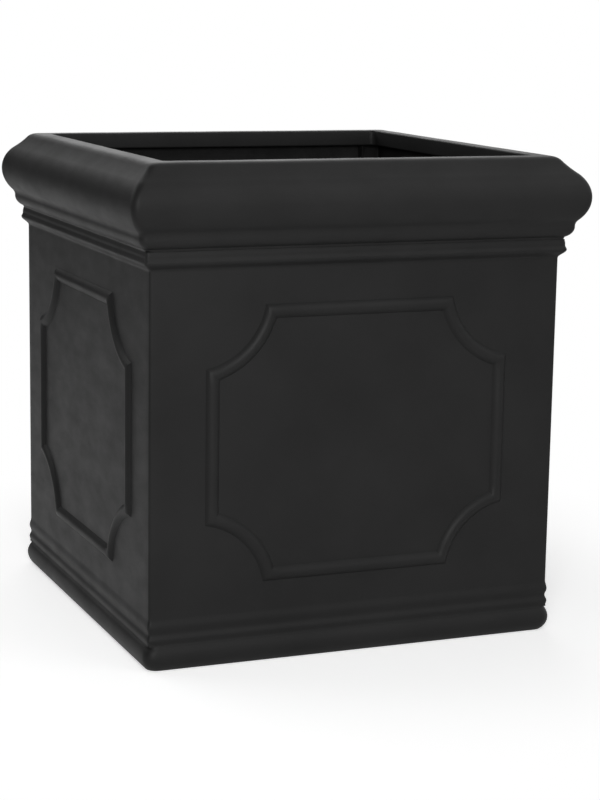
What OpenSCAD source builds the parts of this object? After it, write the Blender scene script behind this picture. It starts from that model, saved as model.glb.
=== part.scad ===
// Square moulded planter with a classical cornice, panelled walls and a plinth.
// The ground is z = 0, the front face looks along -Y and the planter's axis is Z.

/* [Body] */
// Width across two opposite flat faces
body_w = 448; // [340:1:640]
// Height from the ground to the top of the rim
height = 508; // [400:1:760]
// Thickness of the four walls
wall_t = 10; // [8:0.5:16]
// Radius that eases the upright corners of the body
corner_ease = 3; // [1:0.5:5]
// Depth of the crevices between the base beads, below the flat face
groove_d = 1.2; // [0.6:0.1:3]

/* [Cornice] */
// Height of the cornice from its lower edge to the top of the rim
cornice_h = 85.5; // [82:0.5:96]
// Projection of the torus beyond the flat face
torus_out = 26; // [20:0.5:32]
// Radius of the torus
torus_r = 34; // [31:0.5:37]
// Drop from the top of the rim to the torus's widest line
torus_drop = 40.5; // [38:0.5:44]
// Thickness of the torus, which is hollow behind
shell_t = 8; // [5:0.5:12]
// Width of the flat land on top of the rim
land_w = 16.5; // [12:0.5:22]
// Radius of the shoulder between the land and the torus
shoulder_r = 12; // [8:0.5:14]
// Overhang of the inner lip past the inside of the walls
lip_over = 12; // [6:0.5:20]
// Depth of the inner lip
lip_h = 18; // [12:0.5:24]
// Radius on the inner edges of the lip
lip_r = 2; // [1:0.5:4]
// Projection of the small ovolo under the torus
ovolo_out = 14; // [10:0.5:18]
// Radius of the ovolo
ovolo_r = 11.5; // [9:0.5:13]
// Height of the ovolo above the cornice's lower edge
ovolo_lift = 0.5; // [0.3:0.1:2]
// Radius that rounds the torus at its four corners
torus_ease = 5; // [2:1:16]

/* [Neck bead] */
// Height of the neck bead below the cornice
neck_h = 18; // [12:0.5:24]
// Projection of the neck bead
neck_out = 6.8; // [4:0.1:8]
// Projection of the fillet between the neck bead and the cornice
fillet_out = 4.5; // [2:0.1:6]

/* [Panel bead] */
// Distance from the body's corner to the bead's middle line
panel_side = 66.5; // [45:0.5:90]
// Distance from the neck bead down to the bead's middle line
panel_top = 44.5; // [30:0.5:60]
// Distance from the base beads up to the bead's middle line
panel_foot = 37; // [25:0.5:60]
// Width of the bead
panel_bead_w = 15; // [10:0.5:20]
// Height of the bead above the flat face
panel_bead_h = 5.5; // [3:0.1:7]
// Radius of the incurved corners, on the bead's middle line
incurve_r = 90; // [75:1:105]
// Distance from the outline's corner out to the arc's centre, each way
incurve_out = 26; // [15:1:35]

/* [Base] */
// Height of the plinth
plinth_h = 26.5; // [20:0.5:32]
// Projection of the plinth's torus
plinth_out = 5; // [3:0.5:9]
// Radius of the plinth's torus
plinth_r = 21; // [18:0.5:30]
// Height of the plinth's widest line
plinth_nose = 14; // [11:0.5:16]
// Radius that rounds the plinth at its four corners
plinth_ease = 4; // [1:0.5:8]
// Crevice between the plinth and the lower base bead
lower_gap = 3.4; // [2:0.1:5]
// Height of the lower base bead
base_bead_h = 8.7; // [6:0.1:12]
// Crevice between the two base beads
upper_gap = 1.3; // [1:0.1:4]
// Height of the upper base bead, a soft swelling
swell_h = 16.3; // [12:0.1:22]
// Projection of both base beads beyond the flat face
base_out = 1.3; // [0.8:0.1:3]

/* [Floor] */
// Height of the planter's floor above the ground
floor_z = 36; // [34:0.5:50]
// Thickness of the floor
floor_t = 12; // [10:0.5:20]
// Lap of the floor onto the plinth, inside the walls
ledge_lap = 4; // [2:0.5:8]
// Clearance of the floor inside the walls
floor_fit = 0.3; // [0.1:0.1:1]
// Width of each of the four cast feet
foot_w = 44; // [30:1:60]
// Distance that the feet stand below the plinth
foot_drop = 2; // [1:0.5:4]
// Size of the strips that bond the walls in their inner corners
strip_w = 15; // [12:0.5:22]
// Thickness of those strips at their edges
strip_edge = 1; // [0.6:0.1:2]

/* [Drain] */
// Diameter of the drain hole
drain_d = 26; // [16:0.5:36]
// Clearance round the plug's stem
drain_fit = 0.1; // [0.05:0.05:0.3]
// Diameter of the thick boss under the drain hole
boss_d = 52; // [50:1:70]
// Depth of the boss below the floor
boss_h = 6; // [3:0.5:8]
// Diameter of the plug's flange
flange_d = 40; // [38:0.5:46]
// Thickness of the flange
flange_t = 3; // [2:0.5:5]
// Depth of the seat that is sunk in the floor for the flange
seat_d = 2; // [1:0.5:3]
// Clearance round the flange
seat_fit = 1; // [0.5:0.5:2]
// Depth of the plug's stem below its flange
stem_h = 18; // [14:0.5:22]
// Wall of the hollow stem
stem_t = 4; // [2:0.5:6]
// Diameter of the plug's grip
grip_d = 15; // [11:0.5:20]
// Height of the grip above the flange
grip_h = 12; // [10:0.5:16]

/* [Hidden] */
$fn = 96;

// Places across the wall, measured from the planter's axis
face = body_w / 2;
wall_in = face - wall_t;
opening_half = wall_in - lip_over;
torus_nose = face + torus_out;
plinth_face = face + plinth_out;
reach = 2 * (body_w + height);

// Heights, from the ground up
swell_r = bead_radius(swell_h, base_out + groove_d);
base_bead_r = bead_radius(base_bead_h, base_out + groove_d);
base_bead_z = plinth_h + lower_gap + base_bead_h / 2;
swell_z = base_bead_z + base_bead_h / 2 + upper_gap + swell_h / 2;
swell_top = swell_z + sqrt(pow(swell_r, 2) - pow(swell_r - base_out, 2));
cornice_z = height - cornice_h;
neck_z = cornice_z - neck_h / 2;
neck_foot = cornice_z - neck_h;
seat_z = height - lip_h;
torus_z = height - torus_drop;

// Extra length that takes a cutter past the face it cuts, or sinks a boss in what carries it
spare = 1;

// The panel bead's middle line
panel_half_w = face - panel_side;
panel_low = swell_top + panel_foot;
panel_high = neck_foot - panel_top;
panel_half_h = (panel_high - panel_low) / 2;
panel_z = (panel_high + panel_low) / 2;
bead_sink = 2;
arc_steps = 12;
bead_steps = 8;

body_colour = "#2f3033";
rubber_colour = "#1c1c1d";

// Radius of the arc that spans a width and stands out by a given height.
function bead_radius(width, out) = (pow(width / 2, 2) + pow(out, 2)) / (2 * out);

// Half-plane outside the plane x = place.
module beyond(place) {
    translate([place, -reach]) square([reach, 2 * reach]);
}

// Corner cutter: what a convex round of radius r takes off a square corner at the origin.
module round_cutter(r) {
    difference() {
        translate([-r, -r]) square(r + spare);
        translate([-r, -r]) circle(r);
    }
}

// One straight length of moulding along the front, cut to 45 degree mitres at both ends.
// Its section is drawn with x as the distance from the axis and y as the height.
module mitred_length() {
    intersection() {
        rotate([90, 0, -90]) linear_extrude(reach, center = true) children();
        linear_extrude(reach) polygon([[0, 0], [-reach, -reach], [reach, -reach]]);
    }
}

// A closed square ring of four mitred lengths.
module mitred_ring() {
    for (turn = [0:3]) rotate(90 * turn) mitred_length() children();
}

// Four cutters that round a ring's upright corners.
module upright_rounds(half, r, low, high) {
    for (turn = [0:3])
        rotate(90 * turn) translate([half, half, low]) linear_extrude(high - low) round_cutter(r);
}

// Section of a wall with the mouldings that run across it.
module wall_section() {
    intersection() {
        union() {
            translate([0, plinth_h]) square([face - groove_d, swell_z - plinth_h]);
            translate([0, swell_z]) square([face, seat_z - swell_z]);
            translate([face + base_out - base_bead_r, base_bead_z]) circle(base_bead_r);
            translate([face + base_out - swell_r, swell_z]) circle(swell_r);
            neck_section();
        }
        beyond(wall_in);
    }
}

// The neck bead, with the fillet that meets the cornice.
module neck_section() {
    neck_r = bead_radius(neck_h, neck_out);
    translate([face + neck_out - neck_r, neck_z]) circle(neck_r);
    translate([wall_in, neck_z]) square([wall_t + fillet_out, neck_h / 2]);
}

// One incurved corner of the panel outline, moved out by u from the bead's middle line.
// It runs from the upright side to the level one, in the corner where x and z are positive.
function incurve(u) =
    let (r = incurve_r - u, bite = asin((incurve_out - u) / r))
    [for (i = [0:arc_steps])
        let (turn = 270 - bite - i * (90 - 2 * bite) / arc_steps)
        [panel_half_w + incurve_out + r * cos(turn), panel_half_h + incurve_out + r * sin(turn)]];

function reversed(list) = [for (i = [len(list) - 1:-1:0]) list[i]];

function mirrored(list, sx, sz) = [for (p = list) [p[0] * sx, p[1] * sz]];

// The whole outline, anticlockwise as seen from the front.
function outline(u) =
    let (corner = incurve(u))
    concat(corner, reversed(mirrored(corner, -1, 1)),
           mirrored(corner, -1, -1), reversed(mirrored(corner, 1, -1)));

// Section of the panel bead: a flattened half round on a foot that is sunk in the wall.
bead_section = concat(
    [[-panel_bead_w / 2, -bead_sink]],
    [for (i = [0:bead_steps])
        [-panel_bead_w / 2 * cos(180 * i / bead_steps), panel_bead_h * sin(180 * i / bead_steps)]],
    [[panel_bead_w / 2, -bead_sink]]);

// The raised bead, lofted between offset copies of the outline so that its corners are mitred.
module panel_bead() {
    rings = [for (s = bead_section) [for (p = outline(s[0])) [p[0], -face - s[1], panel_z + p[1]]]];
    ring_count = len(rings);
    count = len(rings[0]);
    points = [for (ring = rings) each ring];
    faces = [for (k = [0:ring_count - 1]) for (j = [0:count - 1])
        let (a = k * count + j, b = k * count + (j + 1) % count,
             c = ((k + 1) % ring_count) * count + (j + 1) % count,
             d = ((k + 1) % ring_count) * count + j)
        each [[a, b, c], [a, c, d]]];
    polyhedron(points, faces, convexity = 6);
}

// One wall panel, as it stands at the front.
module wall_panel() {
    color(body_colour) {
        difference() {
            mitred_length() wall_section();
            upright_rounds(face, corner_ease, swell_top, neck_foot);
        }
        panel_bead();
    }
}

module front_wall() { wall_panel(); }

module right_wall() { rotate(90) wall_panel(); }

module back_wall() { rotate(180) wall_panel(); }

module left_wall() { rotate(-90) wall_panel(); }

// Section of the cornice: inner lip, land, shoulder, torus and ovolo, hollow behind the torus.
module cornice_section() {
    difference() {
        intersection() {
            union() {
                translate([opening_half, seat_z]) square([land_w, lip_h]);
                translate([opening_half + land_w, height - shoulder_r]) circle(shoulder_r);
                translate([torus_nose - torus_r, torus_z]) circle(torus_r);
                translate([face + ovolo_out - ovolo_r, cornice_z + ovolo_r + ovolo_lift]) circle(ovolo_r);
                translate([face, cornice_z]) square([fillet_out, torus_z - cornice_z]);
            }
            beyond(opening_half);
        }
        translate([face - reach, seat_z - reach]) square(reach);
        intersection() {
            translate([torus_nose - torus_r, torus_z]) circle(torus_r - shell_t);
            translate([face, torus_z - torus_r]) square([torus_r, seat_z - torus_z + torus_r]);
        }
        translate([opening_half, height]) mirror([1, 0]) round_cutter(lip_r);
        translate([opening_half, seat_z]) rotate(180) round_cutter(lip_r);
    }
}

// The rim: one closed square casting that caps the walls.
module cornice_ring() {
    color(body_colour) difference() {
        mitred_ring() cornice_section();
        upright_rounds(torus_nose, torus_ease, cornice_z, height + spare);
    }
}

// Section of the plinth, from the ring's inner face out to its torus.
module plinth_section() {
    intersection() {
        translate([plinth_face - plinth_r, plinth_nose]) circle(plinth_r);
        translate([wall_in - ledge_lap, foot_drop]) square([reach, plinth_h - foot_drop]);
    }
}

// The floor and the plinth in one casting, on four cast feet, with the drain hole.
module base_tray() {
    floor_half = wall_in - floor_fit;
    foot_at = wall_in - foot_w;
    color(body_colour) difference() {
        union() {
            difference() {
                mitred_ring() plinth_section();
                upright_rounds(plinth_face, plinth_ease, 0, plinth_h + spare);
            }
            translate([-floor_half, -floor_half, floor_z - floor_t])
                cube([2 * floor_half, 2 * floor_half, floor_t]);
            for (turn = [0:3]) rotate(90 * turn) translate([foot_at, foot_at, 0])
                cube([foot_w, foot_w, floor_z - floor_t + spare]);
            translate([0, 0, floor_z - floor_t - boss_h]) cylinder(d = boss_d, h = boss_h + spare);
        }
        translate([0, 0, -spare]) cylinder(d = drain_d, h = floor_z + 2 * spare);
        translate([0, 0, floor_z - seat_d]) cylinder(d = flange_d + 2 * seat_fit, h = seat_d + spare);
    }
}

// A cove strip that bonds two walls inside their mitre, in the corner where x and y are positive.
module corner_strip() {
    hollow_r = strip_w - strip_edge;
    color(body_colour) translate([wall_in - strip_w, wall_in - strip_w, floor_z])
        linear_extrude(seat_z - floor_z) difference() {
            square(strip_w);
            circle(hollow_r);
        }
}

module corner_fillet_front_left() { rotate(180) corner_strip(); }

module corner_fillet_front_right() { rotate(-90) corner_strip(); }

module corner_fillet_back_right() { corner_strip(); }

module corner_fillet_back_left() { rotate(90) corner_strip(); }

// Half section of the plug: hollow stem with a lead-in, flange and waisted grip.
module plug_section() {
    stem_r = drain_d / 2 - drain_fit;
    lead = 2;
    grip_r = grip_d / 2;
    waist_r = grip_r * 0.62;
    difference() {
        union() {
            translate([0, lead]) square([stem_r, stem_h - lead]);
            polygon([[0, 0], [stem_r - lead / 2, 0], [stem_r, lead], [0, lead]]);
            translate([0, stem_h]) square([flange_d / 2, flange_t]);
            translate([0, stem_h + flange_t]) square([waist_r, grip_h - grip_r / 2]);
            translate([0, stem_h + flange_t + grip_h - grip_r]) intersection() {
                circle(grip_r);
                square([grip_r, grip_r]);
            }
        }
        translate([-spare, -spare]) square([stem_r - stem_t + spare, stem_h - stem_t + spare]);
    }
}

module drain_plug() {
    color(rubber_colour) translate([0, 0, floor_z - seat_d - stem_h]) rotate_extrude() plug_section();
}

front_wall();
right_wall();
back_wall();
left_wall();
cornice_ring();
base_tray();
corner_fillet_front_left();
corner_fillet_front_right();
corner_fillet_back_right();
corner_fillet_back_left();
drain_plug();
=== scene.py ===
"""Square moulded planter with a classical cornice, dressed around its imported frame."""

from __future__ import annotations

import logging
import math
from collections.abc import Callable, Iterator
from contextlib import contextmanager
from dataclasses import dataclass
from enum import Enum

import bmesh
import bpy
from mathutils import Matrix, Vector

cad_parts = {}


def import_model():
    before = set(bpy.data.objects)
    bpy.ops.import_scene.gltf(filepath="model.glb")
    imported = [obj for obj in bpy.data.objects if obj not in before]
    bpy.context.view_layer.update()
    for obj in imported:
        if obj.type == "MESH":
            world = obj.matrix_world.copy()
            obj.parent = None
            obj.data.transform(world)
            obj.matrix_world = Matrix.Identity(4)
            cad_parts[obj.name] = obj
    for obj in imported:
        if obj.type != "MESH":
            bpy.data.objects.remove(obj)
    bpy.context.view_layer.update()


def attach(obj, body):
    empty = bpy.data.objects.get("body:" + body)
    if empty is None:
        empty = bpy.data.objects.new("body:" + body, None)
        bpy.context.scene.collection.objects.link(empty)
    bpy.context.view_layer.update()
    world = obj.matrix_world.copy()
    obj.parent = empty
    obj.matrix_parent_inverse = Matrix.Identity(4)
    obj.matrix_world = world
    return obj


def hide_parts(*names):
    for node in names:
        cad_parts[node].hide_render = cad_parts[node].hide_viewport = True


log = logging.getLogger("planter")

MM = 0.001
QUARTER = math.pi / 2
NEAR = 1e-5
Point = tuple[float, float]
Triple = tuple[float, float, float]
Circle = tuple[Point, float]
Socket = bpy.types.NodeSocket
Wiring = dict[str | int, object]


class Turned(Enum):
    """One of four alike places round the planter, numbered by quarter turns."""

    @property
    def turn(self) -> float:
        """Angle about the planter's axis that takes the first place to this one."""
        return self.value * QUARTER

    @property
    def word(self) -> str:
        """The place's name in piece names."""
        return self.name.lower()


class Side(Turned):
    """The four sides."""

    FRONT = 0
    RIGHT = 1
    BACK = 2
    LEFT = 3


class Corner(Turned):
    """The four inner corners."""

    BACK_RIGHT = 0
    BACK_LEFT = 1
    FRONT_LEFT = 2
    FRONT_RIGHT = 3


# --------------------------------------------------------------------------- sections


def arc(centre: Point, radius: float, start: float, stop: float, steps: int) -> list[Point]:
    """Points along a circular arc of a section.

    Args:
        centre: the circle's centre, as distance from the axis and height.
        radius: the circle's radius.
        start: first angle in degrees, from the outward direction.
        stop: last angle in degrees.
        steps: how many chords the arc has.

    Returns:
        steps + 1 points from start to stop.
    """
    turns = [math.radians(start + (stop - start) * i / steps) for i in range(steps + 1)]
    return [(centre[0] + radius * math.cos(t), centre[1] + radius * math.sin(t)) for t in turns]


def on_circle(circle: Circle, turn: float) -> Point:
    """The point of a section's circle at an angle in degrees from the outward direction."""
    return arc(*circle, turn, turn, 1)[0]


def soft_wave(stops: list[Point], steps: int = 8) -> list[Point]:
    """Points along a soft moulding: each stop is a crest or a hollow, and the way between is eased.

    Args:
        stops: distance and level of each crest and hollow, upwards.
        steps: chords between two stops.

    Returns:
        The points, with both end stops.
    """
    points = [stops[0]]
    for (near, low), (far, high) in zip(stops, stops[1:]):
        for step in range(1, steps + 1):
            share = (1 - math.cos(math.pi * step / steps)) / 2
            points.append((near + (far - near) * share, low + (high - low) * step / steps))
    return points


def cove_between(
    upper: Circle, lower: Circle, radius: float, steps: int = 6
) -> tuple[float, list[Point], float]:
    """Small hollow round that softens the crease where one round stands on another.

    Args:
        upper: centre and radius of the upper round.
        lower: centre and radius of the lower round.
        radius: radius of the hollow.
        steps: how many chords it has.

    Returns:
        The angle at which the upper round ends, the hollow's points, and the angle at which
        the lower round starts, in degrees.
    """
    (above, above_r), (below, below_r) = upper, lower
    gap = Vector(below) - Vector(above)
    near, far = above_r + radius, below_r + radius
    along = (near**2 - far**2 + gap.length_squared) / (2 * gap.length)
    away = math.sqrt(near**2 - along**2)
    ahead = gap.normalized()
    centre = Vector(above) + ahead * along + Vector((-ahead.y, ahead.x)) * away
    stop, start = (
        math.degrees(math.atan2(centre.y - middle_z, centre.x - middle_x))
        for middle_x, middle_z in (above, below)
    )
    return stop, arc((centre.x, centre.y), radius, stop + 180, start + 180, steps)[1:-1], start


# --------------------------------------------------------------------------- the bench


def select_alone(piece: bpy.types.Object) -> None:
    """Selects one object, makes it active and leaves no other selected.

    Args:
        piece: the object.
    """
    bpy.ops.object.select_all(action="DESELECT")
    bpy.context.view_layer.objects.active = piece
    piece.select_set(True)


@contextmanager
def editing(piece: bpy.types.Object) -> Iterator[None]:
    """Opens one piece in edit mode, with nothing selected in it, and closes it again.

    Args:
        piece: the mesh object to work on.

    Yields:
        Nothing, while the piece is open.
    """
    select_alone(piece)
    bpy.ops.object.mode_set(mode="EDIT")
    bpy.ops.mesh.select_all(action="DESELECT")
    yield
    bpy.ops.object.mode_set(mode="OBJECT")


def pick(piece: bpy.types.Object, kind: str, test: Callable[..., bool]) -> None:
    """Selects, in edit mode, the elements that pass a test, and nothing else.

    Args:
        piece: the object in edit mode.
        kind: VERT, EDGE or FACE.
        test: called with each element.
    """
    bpy.ops.mesh.select_mode(type=kind)
    bpy.ops.mesh.select_all(action="DESELECT")
    mesh = bmesh.from_edit_mesh(piece.data)
    pool = {"VERT": mesh.verts, "EDGE": mesh.edges, "FACE": mesh.faces}[kind]
    chosen = [element for element in pool if test(element)]
    for element in chosen:
        element.select_set(True)
    mesh.select_flush_mode()
    bmesh.update_edit_mesh(piece.data)


def middle(edge: bmesh.types.BMEdge) -> Vector:
    """The middle point of an edge."""
    return (edge.verts[0].co + edge.verts[1].co) / 2


def off_axis(place: Vector) -> float:
    """How far a point lies from the planter's axis, square to the nearest side."""
    return max(abs(place.x), abs(place.y))


def named(name: str) -> bpy.types.Object:
    """Names the active object and its mesh.

    Args:
        name: the piece's name.

    Returns:
        The renamed object.
    """
    piece = bpy.context.active_object
    piece.name = piece.data.name = name
    return piece


def with_modifier(piece: bpy.types.Object, kind: str, **settings: object) -> None:
    """Adds one modifier to a piece and applies it.

    Args:
        piece: the mesh object.
        kind: the modifier's type.
        settings: values of the modifier's own properties.
    """
    select_alone(piece)
    modifier = piece.modifiers.new(kind.title(), kind)
    for name, value in settings.items():
        setattr(modifier, name, value)
    bpy.ops.object.modifier_apply(modifier=modifier.name)


def join(piece: bpy.types.Object, *others: bpy.types.Object) -> None:
    """Joins other meshes into a piece.

    Args:
        piece: the object that stays.
        others: the objects that go into it.
    """
    select_alone(piece)
    for other in others:
        other.select_set(True)
    bpy.ops.object.join()


def tidy(piece: bpy.types.Object) -> None:
    """Merges doubles and turns the faces outwards.

    Args:
        piece: the mesh object.
    """
    with editing(piece):
        bpy.ops.mesh.select_all(action="SELECT")
        bpy.ops.mesh.remove_doubles(threshold=NEAR / 2)
        bpy.ops.mesh.normals_make_consistent(inside=False)


def smooth(piece: bpy.types.Object, angle: float = 40.0) -> None:
    """Shades a piece smooth up to an angle between its faces, in degrees."""
    select_alone(piece)
    bpy.ops.object.shade_smooth_by_angle(angle=math.radians(angle))


def turned_copy(piece: bpy.types.Object, name: str, turn: float) -> bpy.types.Object:
    """Copies a piece with its own mesh, turned about the planter's axis.

    Args:
        piece: the object to copy.
        name: the copy's name.
        turn: angle about the axis.

    Returns:
        The copy, with its place in its mesh.
    """
    select_alone(piece)
    bpy.ops.object.duplicate(linked=False)
    copy = named(name)
    copy.rotation_euler.z = turn
    bpy.ops.object.transform_apply(location=True, rotation=True, scale=True)
    return copy


def point_at(name: str, place: Triple) -> bpy.types.Object:
    """Starts a mesh as a single point.

    Args:
        name: the new object's name.
        place: where the point lies.

    Returns:
        The object.
    """
    bpy.ops.mesh.primitive_plane_add(size=MM, location=(0, 0, 0))
    piece = named(name)
    with editing(piece):
        bpy.ops.mesh.select_mode(type="VERT")
        bpy.ops.mesh.select_all(action="SELECT")
        bpy.ops.mesh.merge(type="CENTER")
        bpy.ops.transform.translate(value=place)
    return piece


def push(section: list[Point]) -> None:
    """Extrudes the selected loop along a section, in edit mode.

    Args:
        section: points as distance from the axis and height. The loop stands at the first.
    """
    for (out, low), (new_out, new_low) in zip(section, section[1:]):
        bpy.ops.mesh.extrude_region_move(TRANSFORM_OT_translate={"value": (0, 0, new_low - low)})
        bpy.ops.transform.resize(value=(new_out / out, new_out / out, 1), center_override=(0, 0, 0))


def turned_shell(name: str, count: int, section: list[Point]) -> bpy.types.Object:
    """Pushes a circle along a section, as on a lathe.

    Args:
        name: the new object's name.
        count: chords round the circle.
        section: points as distance from the axis and height.

    Returns:
        A shell that is open at both ends.
    """
    radius, level = section[0]
    bpy.ops.mesh.primitive_circle_add(vertices=count, radius=radius, location=(0, 0, level))
    bpy.ops.object.transform_apply(location=True)
    piece = named(name)
    with editing(piece):
        bpy.ops.mesh.select_mode(type="VERT")
        bpy.ops.mesh.select_all(action="SELECT")
        push(section)
    return piece


@dataclass(frozen=True)
class SquareSweep:
    """A square loop that is pushed along a section, so that it has mitred, rounded corners.

    Attributes:
        corner_radius: radius of the upright corners.
        columns: chords along each straight side.
        corner_steps: chords round each corner, an even number.
    """

    corner_radius: float
    columns: int
    corner_steps: int = 6

    def start(self, name: str, at: Point) -> bpy.types.Object:
        """Draws the first loop.

        Args:
            name: the new object's name.
            at: the section's first point.

        Returns:
            A mesh that is one closed loop of edges.
        """
        bpy.ops.mesh.primitive_plane_add(size=2 * at[0], location=(0, 0, at[1]))
        bpy.ops.object.transform_apply(location=True)
        piece = named(name)
        with editing(piece):
            bpy.ops.mesh.select_all(action="SELECT")
            bpy.ops.mesh.delete(type="ONLY_FACE")
            bpy.ops.mesh.select_mode(type="VERT")
            bpy.ops.mesh.select_all(action="SELECT")
            bpy.ops.mesh.bevel(
                affect="VERTICES", offset=self.corner_radius, segments=self.corner_steps,
                profile=0.5,
            )
            straight = 2 * at[0] - 3 * self.corner_radius
            pick(piece, "EDGE", lambda edge: edge.calc_length() > straight)
            bpy.ops.mesh.subdivide(number_cuts=self.columns - 1)
        return piece

    def ring(self, name: str, section: list[Point], closed: bool = True) -> bpy.types.Object:
        """Sweeps a section right round.

        Args:
            name: the new object's name.
            section: points as distance from the axis and height.
            closed: whether the last point joins the first.

        Returns:
            The swept mesh.
        """
        piece = self.start(name, section[0])
        with editing(piece):
            bpy.ops.mesh.select_all(action="SELECT")
            push(section + section[:1] if closed else section)
        tidy(piece)
        return piece

    def front_length(self, name: str, section: list[Point]) -> bpy.types.Object:
        """Sweeps a closed section along the front alone, and closes its mitred ends.

        Args:
            name: the new object's name.
            section: points as distance from the axis and height.

        Returns:
            A closed mesh whose ends lie on the two front diagonals.
        """
        piece = self.start(name, section[0])
        with editing(piece):
            pick(piece, "VERT", lambda vert: -vert.co.y < abs(vert.co.x) - NEAR)
            bpy.ops.mesh.delete(type="VERT")
            bpy.ops.mesh.select_all(action="SELECT")
            push(section + section[:1])
            bpy.ops.mesh.select_all(action="SELECT")
            bpy.ops.mesh.remove_doubles(threshold=NEAR / 2)
            for way in (-1, 1):
                pick(piece, "EDGE", lambda edge: edge.is_boundary and middle(edge).x * way > 0)
                bpy.ops.mesh.edge_face_add()
        tidy(piece)
        return piece


# --------------------------------------------------------------------------- finishes


WHITE = (1.0, 1.0, 1.0, 1.0)
NOISE_SPAN = (0.3, 0.7)  # most values of a noise lie in it


class Graph:
    """A node tree, with short calls for nodes that are wired as they are added."""

    def __init__(self, tree: bpy.types.NodeTree) -> None:
        """Takes the tree to work on."""
        self.tree = tree

    def wire(self, node: bpy.types.Node, inputs: Wiring) -> None:
        """Links inputs of a node to sockets, or gives them values.

        Args:
            node: the node.
            inputs: a socket or a value for each input, by its name or number.
        """
        for name, value in inputs.items():
            if isinstance(value, Socket):
                self.tree.links.new(value, node.inputs[name])
            else:
                node.inputs[name].default_value = value

    def add(self, kind: str, inputs: Wiring | None = None, **settings: object) -> bpy.types.Node:
        """Adds a node.

        Args:
            kind: its type, without the ShaderNode that each type starts with.
            inputs: a socket or a value for each input, by its name or number.
            settings: values of its own properties.

        Returns:
            The node.
        """
        node = self.tree.nodes.new(f"ShaderNode{kind}")
        for name, value in settings.items():
            setattr(node, name, value)
        self.wire(node, inputs or {})
        return node

    def mapped(self, value: Socket, span: Point, levels: Point = (0.0, 1.0),
               easing: str = "LINEAR") -> Socket:
        """A value that goes from one level to another while its driver crosses a span.

        Args:
            value: the driving socket.
            span: its values where the change starts and where it ends.
            levels: the new value before and after the change.
            easing: how it goes from one to the other.

        Returns:
            The new value's socket.
        """
        names = ("Value", "From Min", "From Max", "To Min", "To Max")
        inputs = dict(zip(names, (value, *span, *levels)))
        return self.add("MapRange", inputs, interpolation_type=easing).outputs["Result"]

    def mixed(self, share: Socket, first: Socket, second: Socket) -> Socket:
        """Mixes two shaders by a share of the second."""
        return self.add("MixShader", {0: share, 1: first, 2: second}).outputs[0]

    def by_ray(self, light: Socket, gloss: Socket, camera: Socket) -> Socket:
        """A shader that differs by the kind of ray.

        Args:
            light: what scattered light meets.
            gloss: what glossy and transmitted rays meet.
            camera: what the camera sees.

        Returns:
            The shader's socket.
        """
        ray = self.add("LightPath").outputs
        kinds = {0: ray["Is Glossy Ray"], 1: ray["Is Transmission Ray"]}
        shiny = self.add("Math", kinds, operation="MAXIMUM").outputs[0]
        return self.mixed(ray["Is Camera Ray"], self.mixed(shiny, light, gloss), camera)


class Nodes(Graph):
    """A material's node tree, with short calls for what the finishes share."""

    def __init__(self, name: str, roughness: float, specular: float) -> None:
        """Starts a material whose shader has these constants.

        Args:
            name: the material's name.
            roughness: the shader's roughness.
            specular: the shader's specular level.
        """
        self.material = bpy.data.materials.new(name)
        self.material.use_nodes = True
        super().__init__(self.material.node_tree)
        self.shader = self.tree.nodes["Principled BSDF"]
        self.wire(self.shader, {"Roughness": roughness, "Specular IOR Level": specular})
        self.place = self.add("TexCoord").outputs["Object"]

    def noise(self, scale: float, detail: float, roughness: float = 0.5,
              stretch: Triple = (1, 1, 1)) -> Socket:
        """A noise value in Object coordinates.

        Args:
            scale: how many features a metre holds, about.
            detail: octaves.
            roughness: weight of the finer octaves.
            stretch: scale along each axis.

        Returns:
            The noise socket, about 0.5 in the mean.
        """
        place = self.add("Mapping", {"Vector": self.place, "Scale": stretch}).outputs["Vector"]
        inputs = {"Vector": place, "Scale": scale, "Detail": detail, "Roughness": roughness}
        return self.add("TexNoise", inputs).outputs["Fac"]

    def mottle(self, value: Socket, span: Point, dark: float, pale: float) -> None:
        """Colours the shader with a grey that follows a value.

        Args:
            value: the driving socket.
            span: the values that give the dark and the pale grey.
            dark: linear brightness of the dark grey.
            pale: linear brightness of the pale grey.
        """
        node = self.add("ValToRGB", {"Fac": value})
        for element, position, grey in zip(node.color_ramp.elements, span, (dark, pale)):
            element.position, element.color = position, (grey, grey, grey, 1)
        self.wire(self.shader, {"Base Color": node.outputs["Color"]})

    def roughen(self, value: Socket, low: float, high: float) -> None:
        """Lets the shader's roughness follow a noise value, from low to high."""
        self.wire(self.shader, {"Roughness": self.mapped(value, NOISE_SPAN, (low, high))})

    def bump(self, height: Socket, distance: float, strength: float,
             under: Socket | None = None) -> Socket:
        """A bump over another one.

        Args:
            height: the height socket, 0 to 1.
            distance: height of a full step, in metres.
            strength: how much of it shows.
            under: normal of a coarser bump.

        Returns:
            The normal socket.
        """
        inputs = {"Height": height, "Distance": distance, "Strength": strength}
        if under is not None:
            inputs["Normal"] = under
        return self.add("Bump", inputs).outputs["Normal"]

    def lifted(self, glow: float | Socket) -> Socket:
        """The material's own shader with a white glow added."""
        light = self.add("Emission", {"Strength": glow}).outputs[0]
        return self.add("AddShader", {0: self.shader.outputs[0], 1: light}).outputs[0]


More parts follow.
